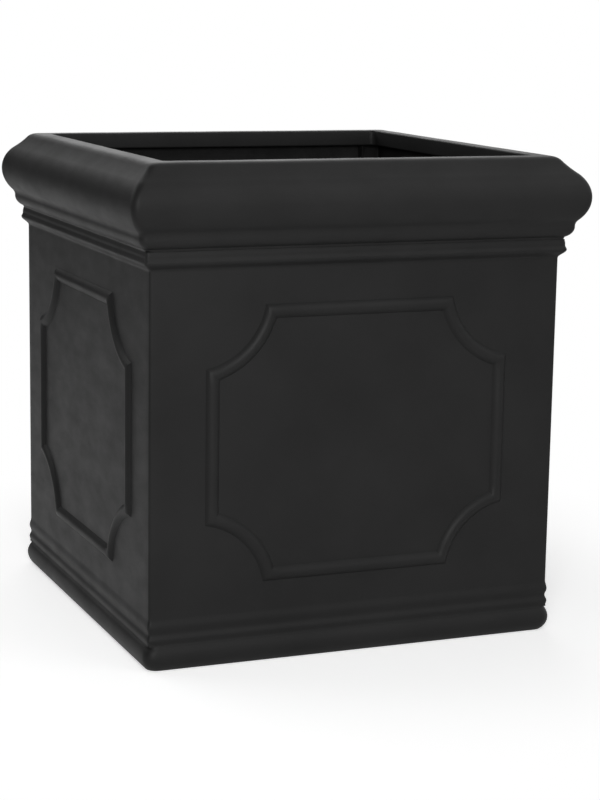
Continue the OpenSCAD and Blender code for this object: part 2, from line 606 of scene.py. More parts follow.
@dataclass(frozen=True)
class AnthraciteCoat:
    """Matte dark coat on the moulded outside: faintly mottled and finely pitted.

    Attributes:
        name: the material's name.
        tone: linear brightness of the coat.
        spread: share by which the mottling changes it, each way.
        roughness: mean roughness.
        rubbing: by how much rubbing changes it, each way.
        specular: specular level.
    """

    name: str
    tone: float = 0.014
    spread: float = 0.15
    roughness: float = 0.5
    rubbing: float = 0.045
    specular: float = 0.15

    def build(self) -> bpy.types.Material:
        """Makes the material.

        Returns:
            The material.
        """
        nodes = Nodes(self.name, self.roughness, self.specular)
        dark, pale = self.tone * (1 - self.spread), self.tone * (1 + self.spread)
        cloud = nodes.noise(scale=9, detail=5, roughness=0.55)
        nodes.mottle(cloud, (0.32, 0.68), dark, pale)
        rub = nodes.noise(scale=23, detail=4, roughness=0.6, stretch=(1, 1, 2.2))
        nodes.roughen(rub, self.roughness - self.rubbing, self.roughness + self.rubbing)
        waves = nodes.noise(scale=16, detail=2, roughness=0.4)
        pits = nodes.noise(scale=620, detail=3, roughness=0.6)
        uneven = nodes.bump(waves, distance=0.0011, strength=0.35)
        grain = nodes.bump(pits, distance=0.00022, strength=0.45, under=uneven)
        nodes.wire(nodes.shader, {"Normal": grain})
        return nodes.material


@dataclass(frozen=True)
class RoughLaminate:
    """The unfinished inside: dark clay and chopped fibre as the brush left it.

    Attributes:
        name: the material's name.
        tone: linear brightness.
        patches: shares of it in the darkest and the palest patches.
        smooth, rough: roughness of the smoothest and the roughest patches.
        specular: specular level.
    """

    name: str
    tone: float = 0.009
    patches: Point = (0.6, 1.7)
    smooth: float = 0.63
    rough: float = 0.85
    specular: float = 0.12

    def build(self) -> bpy.types.Material:
        """Makes the material.

        Returns:
            The material.
        """
        nodes = Nodes(self.name, self.rough, self.specular)
        patch = nodes.noise(scale=34, detail=6, roughness=0.65)
        dark, pale = (self.tone * share for share in self.patches)
        nodes.mottle(patch, (0.35, 0.7), dark, pale)
        nodes.roughen(patch, self.smooth, self.rough)
        upright = nodes.noise(scale=260, detail=4, roughness=0.7, stretch=(1, 1, 0.35))
        level = nodes.noise(scale=240, detail=4, roughness=0.7, stretch=(0.3, 0.3, 1.6))
        under = nodes.bump(upright, distance=0.0008, strength=0.6)
        fibres = nodes.bump(level, distance=0.0007, strength=0.5, under=under)
        nodes.wire(nodes.shader, {"Normal": fibres})
        return nodes.material


@dataclass(frozen=True)
class PlugRubber:
    """Moulded black rubber with a little bloom.

    Attributes:
        name: the material's name.
        tone: linear brightness.
        bloomed: shares of it where there is no bloom and where there is most.
        roughness: roughness.
        specular: specular level.
        sheen: weight of the sheen.
    """

    name: str
    tone: float = 0.016
    bloomed: Point = (0.8, 1.5)
    roughness: float = 0.55
    specular: float = 0.4
    sheen: float = 0.05

    def build(self) -> bpy.types.Material:
        """Makes the material.

        Returns:
            The material.
        """
        nodes = Nodes(self.name, self.roughness, self.specular)
        bloom = nodes.noise(scale=140, detail=4, roughness=0.6)
        dark, pale = (self.tone * share for share in self.bloomed)
        nodes.mottle(bloom, (0.4, 0.75), dark, pale)
        grain = nodes.bump(nodes.noise(scale=900, detail=2), distance=0.0001, strength=0.4)
        nodes.wire(nodes.shader, {"Sheen Weight": self.sheen, "Normal": grain})
        return nodes.material


# --------------------------------------------------------------------------- the pieces


@dataclass(frozen=True)
class Relief:
    """A cast or brushed unevenness, pushed into the mesh along its normals.

    Attributes:
        size: width of its features.
        depth: full height from hollow to crest.
        detail: octaves of the pattern.
    """

    size: float
    depth: float
    detail: int = 2

    def apply(self, piece: bpy.types.Object, name: str, share: Callable[[Vector], float]) -> None:
        """Pushes the relief into a piece, and keeps its shares as a vertex group.

        Args:
            piece: the mesh object.
            name: the vertex group's name.
            share: gives how much of the relief a point takes, 1 or more for all of it.
        """
        group = piece.vertex_groups.new(name=name)
        for vert in piece.data.vertices:
            weight = share(vert.co)
            if weight > 0:
                group.add([vert.index], min(weight, 1.0), "REPLACE")
        pattern = bpy.data.textures.new("relief", "CLOUDS")
        pattern.noise_scale = self.size
        pattern.noise_depth = self.detail
        with_modifier(
            piece, "DISPLACE", texture=pattern, texture_coords="LOCAL",
            strength=self.depth, mid_level=0.5, vertex_group=name,
        )


def paint(piece: bpy.types.Object, finish: bpy.types.Material,
          other: bpy.types.Material | None = None,
          takes_other: Callable[[Vector], bool] = lambda place: False) -> None:
    """Gives a piece its finish, and some of its faces another one.

    Args:
        piece: the mesh object.
        finish: the finish of most faces.
        other: the finish of the rest.
        takes_other: whether a face with its centre at a point takes the other finish.
    """
    piece.data.materials.clear()
    for material in (finish, other):
        if material is not None:
            piece.data.materials.append(material)
    for face in piece.data.polygons:
        face.material_index = int(takes_other(face.center))


@dataclass(frozen=True)
class PanelOutline:
    """Outline of the wall panel: a rectangle whose four corners curve inwards.

    Attributes:
        half: half width of the bead's middle line.
        low, high: its lowest and highest level.
        radius: radius of the incurved corners on the middle line.
        beyond: how far out of the rectangle's corner their centres lie, each way.
        arc_steps, level_steps, upright_steps: chords of a corner and of a side.
    """

    half: float = 158.3 * MM
    low: float = 91.15 * MM
    high: float = 360 * MM
    radius: float = 83.6 * MM
    beyond: float = 20 * MM
    arc_steps: int = 20
    level_steps: int = 20
    upright_steps: int = 14

    @property
    def middle_z(self) -> float:
        """Level of the outline's middle."""
        return (self.low + self.high) / 2

    @property
    def half_high(self) -> float:
        """Half the outline's height."""
        return (self.high - self.low) / 2

    def draw(self, out: float, y: float) -> bpy.types.Object:
        """Draws the outline: one corner is spun and mirrored, and the sides join the four.

        Args:
            out: distance outwards from the bead's middle line.
            y: where the outline's plane stands.

        Returns:
            A mesh that is one closed loop of edges.
        """
        middle_z, half_high = self.middle_z, self.half_high
        radius = self.radius - out
        bite = math.asin((self.beyond - out) / radius)
        centre = Vector((self.half + self.beyond, y, middle_z + half_high + self.beyond))
        reach = Vector((-math.cos(bite), 0, -math.sin(bite))) * radius
        loop = point_at("outline", tuple(centre + reach))
        with editing(loop):
            bpy.ops.mesh.select_all(action="SELECT")
            bpy.ops.mesh.spin(
                steps=self.arc_steps, angle=QUARTER - 2 * bite, center=centre, axis=(0, 1, 0)
            )
            for flip in ((-1, 1, 1), (1, 1, -1)):
                bpy.ops.mesh.select_all(action="SELECT")
                bpy.ops.mesh.duplicate()
                bpy.ops.transform.resize(value=flip, center_override=(0, 0, middle_z))
            level, upright = half_high + out - NEAR, self.half + out - NEAR
            for way in (-1, 1):
                pick(loop, "VERT", lambda v: (v.co.z - middle_z) * way > level)
                self.chord(self.level_steps)
                pick(loop, "VERT", lambda v: v.co.x * way > upright)
                self.chord(self.upright_steps)
        return loop

    def out(self, x: float, z: float) -> float:
        """How far a point lies outside the bead's middle line.

        Args:
            x: the point's distance from the front's middle, on either side.
            z: its level.

        Returns:
            The distance, negative inside the line.
        """
        across, up = abs(x), abs(z - self.middle_z)
        from_corner = math.hypot(
            self.half + self.beyond - across, self.half_high + self.beyond - up
        )
        return max(across - self.half, up - self.half_high, self.radius - from_corner)

    @staticmethod
    def chord(steps: int) -> None:
        """Joins the two selected points by an edge and divides it.

        Args:
            steps: how many chords the edge is divided into.
        """
        bpy.ops.mesh.edge_face_add()
        bpy.ops.mesh.select_mode(type="EDGE")
        bpy.ops.mesh.subdivide(number_cuts=steps - 1)


@dataclass
class WallPanel:
    """One moulded side wall: base beads, beaded panel with incurved corners, neck bead.

    Attributes:
        face: distance of the flat face from the axis.
        inside: distance of the inner face.
        foot, seat: lowest and highest level.
        toe: how far behind the face the underside's front edge lies.
        base: projection and level of each crest and hollow of the base beads, upwards.
        neck: the same for the neck bead.
        margin: how far inside the mouldings the flat face's first and last edges lie.
        panel_bead: half width and height of the panel's bead.
        bead_chords: chords of the bead's section from its crest to each foot.
        outline: the panel's outline.
        sweep: how the wall's section is pushed along the front.
        rows: bands up the flat face.
        casting, cast_clear, cast_ease: the outside's unevenness, how far it keeps from the
            mitres and the ends, and over what width it grows there.
        brushing, brush_low, brush_clear, brush_ease: the inner face's brush marks, the level
            where they start, how far they keep from the top, and over what width they grow.
        brush_room: how far the brush marks may push the inner face outwards.
    """

    face: float = 224 * MM
    inside: float = 214 * MM
    foot: float = 26.5 * MM
    seat: float = 490 * MM
    toe: float = 4 * MM
    base: tuple[Point, ...] = (
        (1.2 * MM, 26.5 * MM), (0.9 * MM, 27.6 * MM), (1.7 * MM, 32.3 * MM), (0, 38.4 * MM),
        (1.5 * MM, 45.6 * MM), (0, 54.5 * MM)
    )
    neck: tuple[Point, ...] = (
        (0, 402.6 * MM), (6.8 * MM, 411.8 * MM), (5.4 * MM, 416.4 * MM), (5.4 * MM, 418 * MM),
        (4.8 * MM, 422.5 * MM)
    )
    margin: float = 1.2 * MM
    panel_bead: Point = (7.3 * MM, 4.4 * MM)
    bead_chords: int = 9
    outline: PanelOutline = PanelOutline()
    sweep: SquareSweep = SquareSweep(3.2 * MM, 46)
    rows: int = 32
    casting: Relief = Relief(75 * MM, 0.5 * MM)
    cast_clear: Point = (4 * MM, 6 * MM)
    cast_ease: Point = (20 * MM, 10 * MM)
    brushing: Relief = Relief(9 * MM, 1.6 * MM, 3)
    brush_low: float = 30 * MM
    brush_clear: float = 2 * MM
    brush_ease: float = 8 * MM
    brush_room: float = 1.2 * MM

    def field(self) -> Point:
        """Lowest and highest level of the flat face, a little inside the mouldings."""
        return self.base[-1][1] + self.margin, self.neck[0][1] - self.margin

    def moulding(self, stops: tuple[Point, ...]) -> list[Point]:
        """Section of a soft moulding on the face."""
        return soft_wave([(self.face + out, level) for out, level in stops])

    def section(self) -> list[Point]:
        """The wall's closed section, up the outside and down the inside.

        Returns:
            Points as distance from the axis and height.
        """
        low, high = self.field()
        step, drop = (high - low) / self.rows, (self.seat - self.foot) / self.rows
        return [
            (self.face - self.toe, self.foot),
            *self.moulding(self.base),
            *[(self.face, low + step * i) for i in range(self.rows + 1)],
            *self.moulding(self.neck),
            (self.face, self.neck[-1][1]),
            (self.face, self.seat),
            *[(self.inside, self.seat - drop * i) for i in range(self.rows + 1)],
        ]

    def bead_steps(self) -> list[Point]:
        """Section of the panel's bead as distance outwards and rise, from outside to inside.

        Returns:
            One pair for each loop of the bead.
        """
        half, high = self.panel_bead
        shares = [1 - step / self.bead_chords for step in range(2 * self.bead_chords + 1)]
        return [(half * share, high * (1 - share**2)) for share in shares]

    def out_at(self, place: Vector) -> float:
        """How far a point of the face lies outside the middle line of the panel's bead."""
        return self.outline.out(place.x, place.z)

    def build_plain(self) -> bpy.types.Object:
        """Models the front wall with its bead.

        Returns:
            The closed wall, with no unevenness yet.
        """
        wall = self.sweep.front_length("wall", self.section())
        steps = self.bead_steps()
        low, high = self.field()
        band = self.panel_bead[0] + 0.9 * (high - low) / self.rows  # most of a row clear of it

        def is_under_bead(face: bmesh.types.BMFace) -> bool:
            """Whether a face of the flat front lies under the bead or just beside it.

            Args:
                face: a face of the wall.

            Returns:
                True if it lies there.
            """
            centre = face.calc_center_median()
            on_front = face.normal.y < -0.9 and low < centre.z < high
            return on_front and abs(self.out_at(centre)) < band

        with editing(wall):
            pick(wall, "FACE", is_under_bead)
            bpy.ops.mesh.delete(type="FACE")
        loops = [self.outline.draw(out, -self.face - rise) for out, rise in steps]
        for number, loop in enumerate([wall, *loops]):
            mark = loop.data.attributes.new("loop", "INT", "POINT")
            mark.data.foreach_set("value", [number] * len(loop.data.vertices))
        join(wall, *loops)
        with editing(wall):
            for number in range(1, len(steps)):
                self.bridge(wall, number)
            for way in (-1, 1):
                pick(wall, "EDGE", lambda e: e.is_boundary and self.out_at(middle(e)) * way > 0)
                bpy.ops.mesh.fill(use_beauty=True)
        tidy(wall)
        return wall

    @staticmethod
    def bridge(wall: bpy.types.Object, number: int) -> None:
        """Bridges one loop of the panel's bead to the next, in edit mode.

        Args:
            wall: the object in edit mode.
            number: the first loop's number, marked on its points.
        """
        layer = bmesh.from_edit_mesh(wall.data).verts.layers.int["loop"]

        def is_of_the_pair(edge: bmesh.types.BMEdge) -> bool:
            """Whether an open edge runs along one of the two loops.

            Args:
                edge: an edge of the wall.

            Returns:
                True if it is one of theirs.
            """
            first, second = (vert[layer] for vert in edge.verts)
            return (edge.is_boundary or edge.is_wire) and first == second and (
                first in (number, number + 1)
            )

        pick(wall, "EDGE", is_of_the_pair)
        bpy.ops.mesh.bridge_edge_loops()

    def build(self, coat: bpy.types.Material, laminate: bpy.types.Material) -> None:
        """Models the four walls, each with its own unevenness, in place of the CAD's walls.

        Args:
            coat: finish of the outside.
            laminate: finish of the rough inside.
        """
        plain = self.build_plain()
        behind = -self.inside - NEAR
        with editing(plain):
            pick(plain, "FACE", lambda f: f.normal.y > 0.9 and f.calc_center_median().y > behind)
            bpy.ops.mesh.subdivide(number_cuts=2)
        for side in Side:
            name = f"{side.word}_wall"
            wall = turned_copy(plain, f"moulded_{name}", side.turn)
            self.casting.apply(wall, "cast", self.cast_share)
            self.brushing.apply(wall, "brushed", self.brushed_share)
            paint(wall, coat, laminate, self.is_inside)
            smooth(wall)
            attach(wall, "planter")
            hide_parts(name)
        bpy.data.objects.remove(plain)

    def is_inside(self, place: Vector) -> bool:
        """Whether a point lies on the inner face."""
        return off_axis(place) < self.inside + self.brush_room

    def cast_share(self, place: Vector) -> float:
        """How much of the casting's unevenness a point takes: none at the mitres and edges.

        Args:
            place: the point.

        Returns:
            The share, 0 for none of it, and 1 or more for all of it.
        """
        near, far = sorted((abs(place.x), abs(place.y)))
        if far < self.face - 2 * MM:
            return 0.0
        ends = min(place.z - self.foot, self.seat - place.z) - self.cast_clear[1]
        mitre = far - near - self.cast_clear[0]
        return max(0.0, min(mitre / self.cast_ease[0], ends / self.cast_ease[1]))

    def brushed_share(self, place: Vector) -> float:
        """How much of the brush marks a point takes: the inner face away from its edges.

        Args:
            place: the point.

        Returns:
            The share, 0 for none of it, and 1 or more for all of it.
        """
        near, far = sorted((abs(place.x), abs(place.y)))
        if far > self.inside + 0.2 * MM:
            return 0.0
        top = self.seat - self.brush_clear - place.z
        return max(0.0, min(place.z - self.brush_low, top, self.inside - near) / self.brush_ease)


@dataclass
class Cornice:
    """The rim: lip, flat land, rounded shoulder, large torus and the ovolo under it.

    Attributes:
        mouth: half width of the opening.
        seat, top: levels of its underside on the walls and of its land.
        lip: radius of the lip's edges.
        lip_end: angle at which the round of its lower edge starts.
        shoulder: centre and radius of the round at the land's outer edge.
        shoulder_end: angle at which it runs into the hollow under it.
        dip: the point that this soft hollow is drawn towards.
        slope_steps: chords of the hollow.
        torus: centre and radius of the half round above its widest line.
        belly: the same below it.
        torus_start: angle at which the hollow touches the torus.
        ovolo: centre and radius of the round under the belly.
        ovolo_end: angle at which it runs into the fillet.
        cove: radius of the small hollow between the belly and the ovolo.
        hollow: centre and radius of the empty space behind the torus.
        hollow_span: angles at which its round starts and ends.
        face, foot: the wall's face and the cornice's lowest level.
        fillet_out: how far the fillet over the neck stands out of the face.
        fillet_edge: the fillet's eased edge, as distances from its corner.
        sweep: how the section is pushed round.
        casting: its unevenness.
        plain: how far out of the walls' face and over their tops it has none.
        cast_low, cast_ease: how far over the foot it starts, and over what height it grows.
    """

    mouth: float = 202 * MM
    seat: float = 490 * MM
    top: float = 508 * MM
    lip: float = 2 * MM
    lip_end: float = 262.0
    shoulder: Circle = ((216.3 * MM, 496 * MM), 12 * MM)
    shoulder_end: float = 42.0
    dip: Point = (230.4 * MM, 497.7 * MM)
    slope_steps: int = 12
    torus: Circle = ((217.85 * MM, 467 * MM), 31.8 * MM)
    belly: Circle = ((215.45 * MM, 467 * MM), 34.2 * MM)
    torus_start: float = 53.0
    ovolo: Circle = ((225.4 * MM, 436.2 * MM), 12 * MM)
    ovolo_end: float = -68.0
    cove: float = 9 * MM
    hollow: Circle = ((216 * MM, 467.5 * MM), 26 * MM)
    hollow_span: Point = (-68.0, 57.0)
    face: float = 224 * MM
    foot: float = 422.5 * MM
    fillet_out: float = 4.8 * MM
    fillet_edge: tuple[Point, ...] = ((0.3 * MM, 0.6 * MM), (-0.2 * MM, 0.0))
    sweep: SquareSweep = SquareSweep(6.5 * MM, 64, 8)
    casting: Relief = Relief(60 * MM, 0.5 * MM)
    plain: Point = (3 * MM, 1 * MM)
    cast_low: float = 3 * MM
    cast_ease: float = 12 * MM

    def slope(self) -> list[Point]:
        """The soft hollow between the shoulder and the torus, drawn towards the dip.

        Returns:
            The points between its two ends.
        """
        start = on_circle(self.shoulder, self.shoulder_end)
        stop = on_circle(self.torus, self.torus_start)
        curve = []
        for step in range(1, self.slope_steps):
            t = step / self.slope_steps
            first, middle, last = (1 - t) ** 2, 2 * t * (1 - t), t**2
            curve.append(tuple(
                first * a + middle * b + last * c for a, b, c in zip(start, self.dip, stop)
            ))
        return curve

    def section(self) -> list[Point]:
        """The closed section, from the lip over the land, down the torus and back inside.

        Returns:
            Points as distance from the axis and height.
        """
        edge = self.mouth + self.lip
        land = self.shoulder[0][0] - self.mouth - self.lip
        belly_end, cove, ovolo_start = cove_between(self.belly, self.ovolo, self.cove)
        (centre, radius), fillet = self.hollow, self.face + self.fillet_out
        return [
            (edge, self.seat),
            *arc((edge, self.seat + self.lip), self.lip, self.lip_end, 180, 5),
            *arc((edge, self.top - self.lip), self.lip, 180, 90, 6),
            *[(edge + land * i / 5, self.top) for i in range(1, 5)],
            *arc(*self.shoulder, 90, self.shoulder_end, 9),
            *self.slope(),
            *arc(*self.torus, self.torus_start, 2, 24),
            *arc(*self.belly, 0, belly_end, 24),
            *cove,
            *arc(*self.ovolo, ovolo_start, self.ovolo_end, 14),
            *[(fillet + out, self.foot + up) for out, up in self.fillet_edge],
            (self.face, self.foot),
            (self.face, centre[1] - math.sqrt(radius**2 - (self.face - centre[0]) ** 2)),
            *arc(centre, radius, *self.hollow_span, 12),
            (centre[0] + math.sqrt(radius**2 - (self.seat - centre[1]) ** 2), self.seat),
            (self.face, self.seat),
        ]

    def build(self, coat: bpy.types.Material) -> None:
        """Models the cornice in place of the CAD's ring.

        Args:
            coat: its finish.
        """
        ring = self.sweep.ring("moulded_cornice", self.section())
        self.casting.apply(ring, "cast", self.cast_share)
        paint(ring, coat)
        smooth(ring)
        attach(ring, "planter")
        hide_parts("cornice_ring")

    def cast_share(self, place: Vector) -> float:
        """How much of the casting's unevenness a point takes: none where the walls meet it.

        Args:
            place: the point.

        Returns:
            The share, 0 for none of it, and 1 or more for all of it.
        """
        out, up = self.plain
        if off_axis(place) < self.face + out and place.z < self.seat + up:
            return 0.0
        return max(0.0, (place.z - self.foot - self.cast_low) / self.cast_ease)


@dataclass
class Tray:
    """Plinth and floor in one casting, on four feet, with the drain hole's seat and boss.

    Attributes:
        inside: distance of the walls' inner faces, which stand on its ledge.
        gap: room between the floor's edge and the walls.
        skirt: inner face of the plinth.
        low, high: levels of the plinth's underside and of the ledge.
        under, floor: levels of the floor's faces.
        plinth: centre and radius of the plinth's round.
        lean: angle at which it runs into the slope above it.
        crevice: where that slope meets the walls.
        edges: how far the round's foot and the slope's top are eased back.
        middle: distance from the axis at which the swept floor ends, round the hub.
        bands: bands of the floor's upper face.
        seat: radius and level of the flange's seat.
        hole: radius of the drain hole.
        boss: radius and level of the boss under it.
        rims: how far the hub's rims stand out of the seat and of the boss.
        feet: width of the feet.
        foot_bevel: width of their bevelled edges.
        sweep: how the section is pushed round.
        casting: unevenness of the plinth's round.
        cast_from, cast_ease: how far out of the round's centre it starts, and over what
            height it grows from the round's ends.
        brushing: brush marks on the floor.
        brush_clear: how far they keep from the axis and from the walls.
        brush_ease: over what width they grow.
        rough_from: how far inside the walls and over the ground the bare surface starts.
    """

    inside: float = 214 * MM
    gap: float = 0.3 * MM
    skirt: float = 210 * MM
    low: float = 0.4 * MM
    high: float = 26.5 * MM
    under: float = 24 * MM
    floor: float = 36 * MM
    plinth: Circle = ((210.6 * MM, 14 * MM), 18.5 * MM)
    lean: float = 34.0
    crevice: Point = (225.2 * MM, 26.3 * MM)
    edges: Point = (0.6 * MM, 0.5 * MM)
    middle: float = 40 * MM
    bands: int = 44
    seat: Point = (21 * MM, 34 * MM)
    hole: float = 13 * MM
    boss: Point = (26 * MM, 18 * MM)
    rims: Point = (3 * MM, 2 * MM)
    feet: float = 44 * MM
    foot_bevel: float = 1.2 * MM
    sweep: SquareSweep = SquareSweep(2 * MM, 48)
    casting: Relief = Relief(60 * MM, 0.5 * MM)
    cast_from: float = 9 * MM
    cast_ease: float = 6 * MM
    brushing: Relief = Relief(10 * MM, 1.6 * MM, 3)
    brush_clear: Point = (28 * MM, 1 * MM)
    brush_ease: float = 12 * MM
    rough_from: Point = (0.5 * MM, 3 * MM)

    def section(self) -> list[Point]:
        """The open section: out under the floor, round the plinth and in above the floor.

        Returns:
            Points as distance from the axis and height.
        """
        centre, radius = self.plinth
        low_turn = math.degrees(math.asin((self.low - centre[1]) / radius))
        brow = on_circle(self.plinth, self.lean)
        slope = [
            tuple(a + (b - a) * step / 5 for a, b in zip(brow, self.crevice))
            for step in range(1, 6)
        ]
        rim = self.inside - self.gap
        band = (rim - self.middle) / self.bands
        return [
            (self.middle, self.under),
            (self.skirt, self.under),
            (self.skirt, self.low),
            (on_circle(self.plinth, low_turn)[0] - self.edges[0], self.low),
            *arc(centre, radius, low_turn + 1, self.lean, 18),
            *slope,
            (self.crevice[0] - self.edges[1], self.high),
            (rim, self.high),
            *[(rim - band * i, self.floor) for i in range(self.bands + 1)],
        ]

    def hub(self, count: int) -> bpy.types.Object:
        """Models the seat, the hole and the boss as a turned shell, open at both rims.

        Args:
            count: chords round it.

        Returns:
            The shell.
        """
        (seat_r, seat_z), (boss_r, boss_z) = self.seat, self.boss
        upper_rim, lower_rim = self.rims
        ease = 0.5 * MM
        return turned_shell("hub", count, [
            (seat_r + upper_rim, self.floor), (seat_r + ease, self.floor),
            (seat_r, self.floor - ease), (seat_r, seat_z),
            (self.hole + ease, seat_z), (self.hole, seat_z - ease),
            (self.hole, boss_z + ease), (self.hole + ease, boss_z),
            (boss_r - 2 * ease, boss_z), (boss_r, boss_z + 2 * ease),
            (boss_r, self.under), (boss_r + lower_rim, self.under),
        ])

    def build(self, coat: bpy.types.Material, laminate: bpy.types.Material) -> None:
        """Models the tray in place of the CAD's casting.

        Args:
            coat: finish of the plinth.
            laminate: finish of the floor, above and below.
        """
        tray = self.sweep.ring("moulded_tray", self.section(), closed=False)
        join(tray, self.hub(4 * (self.sweep.columns + self.sweep.corner_steps)))
        with editing(tray):
            for level in (self.floor, self.under):
                pick(tray, "EDGE", lambda e: e.is_boundary and abs(middle(e).z - level) < NEAR)
                bpy.ops.mesh.fill(use_beauty=True)
        tidy(tray)
        self.brushing.apply(tray, "brushed", self.brushed_share)
        self.casting.apply(tray, "cast", self.cast_share)
        self.add_feet(tray)
        paint(tray, coat, laminate, self.is_rough)
        smooth(tray)
        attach(tray, "planter")
        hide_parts("base_tray")

    def add_feet(self, tray: bpy.types.Object) -> None:
        """Unites the four cast feet with the tray, each a little way into the floor.

        Args:
            tray: the tray's mesh object.
        """
        place, sunk = self.inside - self.feet / 2, 1 * MM
        level = self.under / 2 + sunk / 2
        for corner in Corner:
            bpy.ops.mesh.primitive_cube_add(size=1, location=(place, place, level))
            foot = named("foot")
            foot.scale = (self.feet, self.feet, self.under + sunk)
            bpy.ops.object.transform_apply(location=True, rotation=True, scale=True)
            with_modifier(foot, "BEVEL", width=self.foot_bevel, segments=3)
            foot.rotation_euler.z = corner.turn
            with_modifier(tray, "BOOLEAN", operation="UNION", solver="EXACT", object=foot)
            bpy.data.objects.remove(foot)

    def is_rough(self, place: Vector) -> bool:
        """Whether a point lies on the unfinished floor or under it."""
        inwards, up = self.rough_from
        return off_axis(place) < self.inside - inwards and place.z > up

    def brushed_share(self, place: Vector) -> float:
        """How much of the brush marks a point takes: the floor away from the seat and walls.

        Args:
            place: the point.

        Returns:
            The share, 0 for none of it, and 1 or more for all of it.
        """
        if place.z < self.floor - NEAR:
            return 0.0
        from_hub = math.hypot(place.x, place.y) - self.brush_clear[0]
        from_wall = self.inside - self.brush_clear[1] - off_axis(place)
        return max(0.0, min(from_hub, from_wall) / self.brush_ease)

    def cast_share(self, place: Vector) -> float:
        """How much of the casting's unevenness a point takes: the plinth's round alone.

        Args:
            place: the point.

        Returns:
            The share, 0 for none of it, and 1 or more for all of it.
        """
        if off_axis(place) < self.plinth[0][0] + self.cast_from:
            return 0.0
        return max(0.0, min(place.z - self.low, self.high - place.z) / self.cast_ease)


@dataclass
class CornerCove:
    """A laid-up strip with a hollow face, that bonds two walls inside.

    Attributes:
        inside: distance of the walls' inner faces.
        leg: width of each of its flat sides.
        edge: thickness of its edges.
        low, high: its lowest and highest level.
        chords: chords of its hollow face.
        rows: bands up its length.
        brushing, brush_ease: its brush marks and over what width they grow from its ends.
    """

    inside: float = 214 * MM
    leg: float = 15 * MM
    edge: float = 1 * MM
    low: float = 36 * MM
    high: float = 490 * MM
    chords: int = 10
    rows: int = 150
    brushing: Relief = Relief(9 * MM, 1.4 * MM, 3)
    brush_ease: float = 6 * MM

    def build_plain(self) -> bpy.types.Object:
        """Models the back right strip: its plan is drawn, filled and raised.

        Returns:
            The closed strip, with no brush marks yet.
        """
        near, radius, length = self.inside - self.leg, self.leg - self.edge, self.high - self.low
        strip = point_at("strip", (near, near + radius, self.low))
        with editing(strip):
            bpy.ops.mesh.select_all(action="SELECT")
            bpy.ops.mesh.spin(
                steps=self.chords, angle=-QUARTER, center=(near, near, self.low), axis=(0, 0, 1)
            )
            for step in ((self.edge, 0, 0), (0, self.leg, 0), (-self.leg, 0, 0)):
                bpy.ops.mesh.extrude_region_move(TRANSFORM_OT_translate={"value": step})
            bpy.ops.mesh.select_all(action="SELECT")
            bpy.ops.mesh.edge_face_add()
            bpy.ops.mesh.extrude_region_move(TRANSFORM_OT_translate={"value": (0, 0, length)})
            pick(strip, "EDGE", lambda e: abs(e.verts[0].co.z - e.verts[1].co.z) > length / 2)
            bpy.ops.mesh.subdivide(number_cuts=self.rows - 1)
        tidy(strip)
        return strip

    def build(self, laminate: bpy.types.Material) -> None:
        """Models the four strips in place of the CAD's.

        Args:
            laminate: their finish.
        """
        plain = self.build_plain()
        for corner in Corner:
            strip = turned_copy(plain, f"cove_{corner.word}", corner.turn)
            self.brushing.apply(strip, "brushed", self.brushed_share)
            paint(strip, laminate)
            smooth(strip)
            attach(strip, "planter")
            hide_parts(f"corner_fillet_{corner.word}")
        bpy.data.objects.remove(plain)

    def brushed_share(self, place: Vector) -> float:
        """How much of the brush marks a point takes: its hollow face away from the ends.

        Args:
            place: the point.

        Returns:
            The share, 0 for none of it, and 1 or more for all of it.
        """
        near, far = sorted((abs(place.x), abs(place.y)))
        if far > self.inside - NEAR:
            return 0.0
        reach = min(place.z - self.low, self.high - place.z, far - near + self.brush_ease)
        return max(0.0, reach / self.brush_ease)


